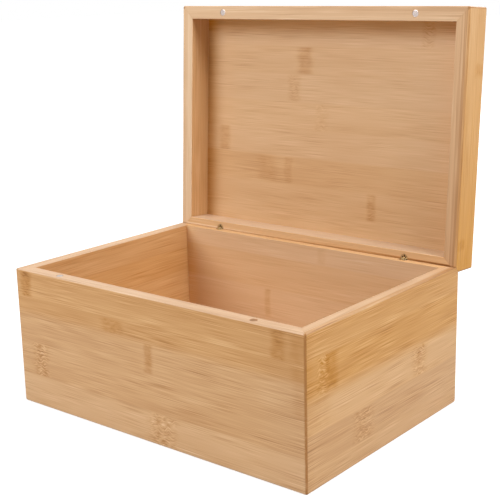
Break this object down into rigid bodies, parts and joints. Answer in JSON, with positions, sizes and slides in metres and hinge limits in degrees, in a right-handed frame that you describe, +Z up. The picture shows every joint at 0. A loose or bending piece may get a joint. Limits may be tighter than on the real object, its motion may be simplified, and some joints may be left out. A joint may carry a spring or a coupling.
{
  "type": "bamboo box",
  "caption": "Rectangular bamboo box with mitred walls and a deep hinged lid that closes on magnets, for papers and keepsakes.",
  "frame": {"origin": "centre of the underside of the bottom panel, on the surface that the box stands on", "axes": "+X to the right along the front face, +Y from front to rear towards the hinges, +Z up"},
  "size_m": [0.255, 0.2105, 0.2755],
  "materials": {
    "bamboo_wall": "bamboo strip board, satin clear lacquer, grain along each wall",
    "bamboo_panel": "bamboo strip board, satin clear lacquer, grain along the width",
    "magnet": "bright nickel plate",
    "hinge_metal": "dull brass, a little tarnished"
  },
  "bodies": {
    "box": {"box_front_wall": "bamboo_wall", "box_back_wall": "bamboo_wall", "box_left_wall": "bamboo_wall", "box_right_wall": "bamboo_wall", "bottom_panel": "bamboo_panel", "box_magnet_left": "magnet", "left_hinge_box_barrel": "hinge_metal", "left_hinge_box_pin": "hinge_metal", "box_magnet_right": "magnet", "right_hinge_box_barrel": "hinge_metal", "right_hinge_box_pin": "hinge_metal"},
    "hinge_links": {"left_hinge_outer_link": "hinge_metal", "left_hinge_centre_link": "hinge_metal", "left_hinge_inner_link": "hinge_metal", "right_hinge_outer_link": "hinge_metal", "right_hinge_centre_link": "hinge_metal", "right_hinge_inner_link": "hinge_metal"},
    "lid": {"lid_front_rail": "bamboo_wall", "lid_back_rail": "bamboo_wall", "lid_left_rail": "bamboo_wall", "lid_right_rail": "bamboo_wall", "lid_top_panel": "bamboo_panel", "lid_magnet_left": "magnet", "left_hinge_lid_barrel": "hinge_metal", "left_hinge_lid_pin": "hinge_metal", "lid_magnet_right": "magnet", "right_hinge_lid_barrel": "hinge_metal", "right_hinge_lid_pin": "hinge_metal"}
  },
  "joints": [
    {"name": "link_swing", "type": "hinge", "parent": "box", "child": "hinge_links", "pos_m": [0, 0.085, 0.098], "axis": [1, 0, 0], "range_deg": [0, 46.75]},
    {"name": "lid_swing", "type": "hinge", "parent": "hinge_links", "child": "lid", "pos_m": [0, 0.08791, 0.10074], "axis": [1, 0, 0], "range_deg": [0, 46.75]}
  ],
  "couplings": [
    {"joint": "link_swing", "follows": "lid_swing", "ratio": 1}
  ]
}
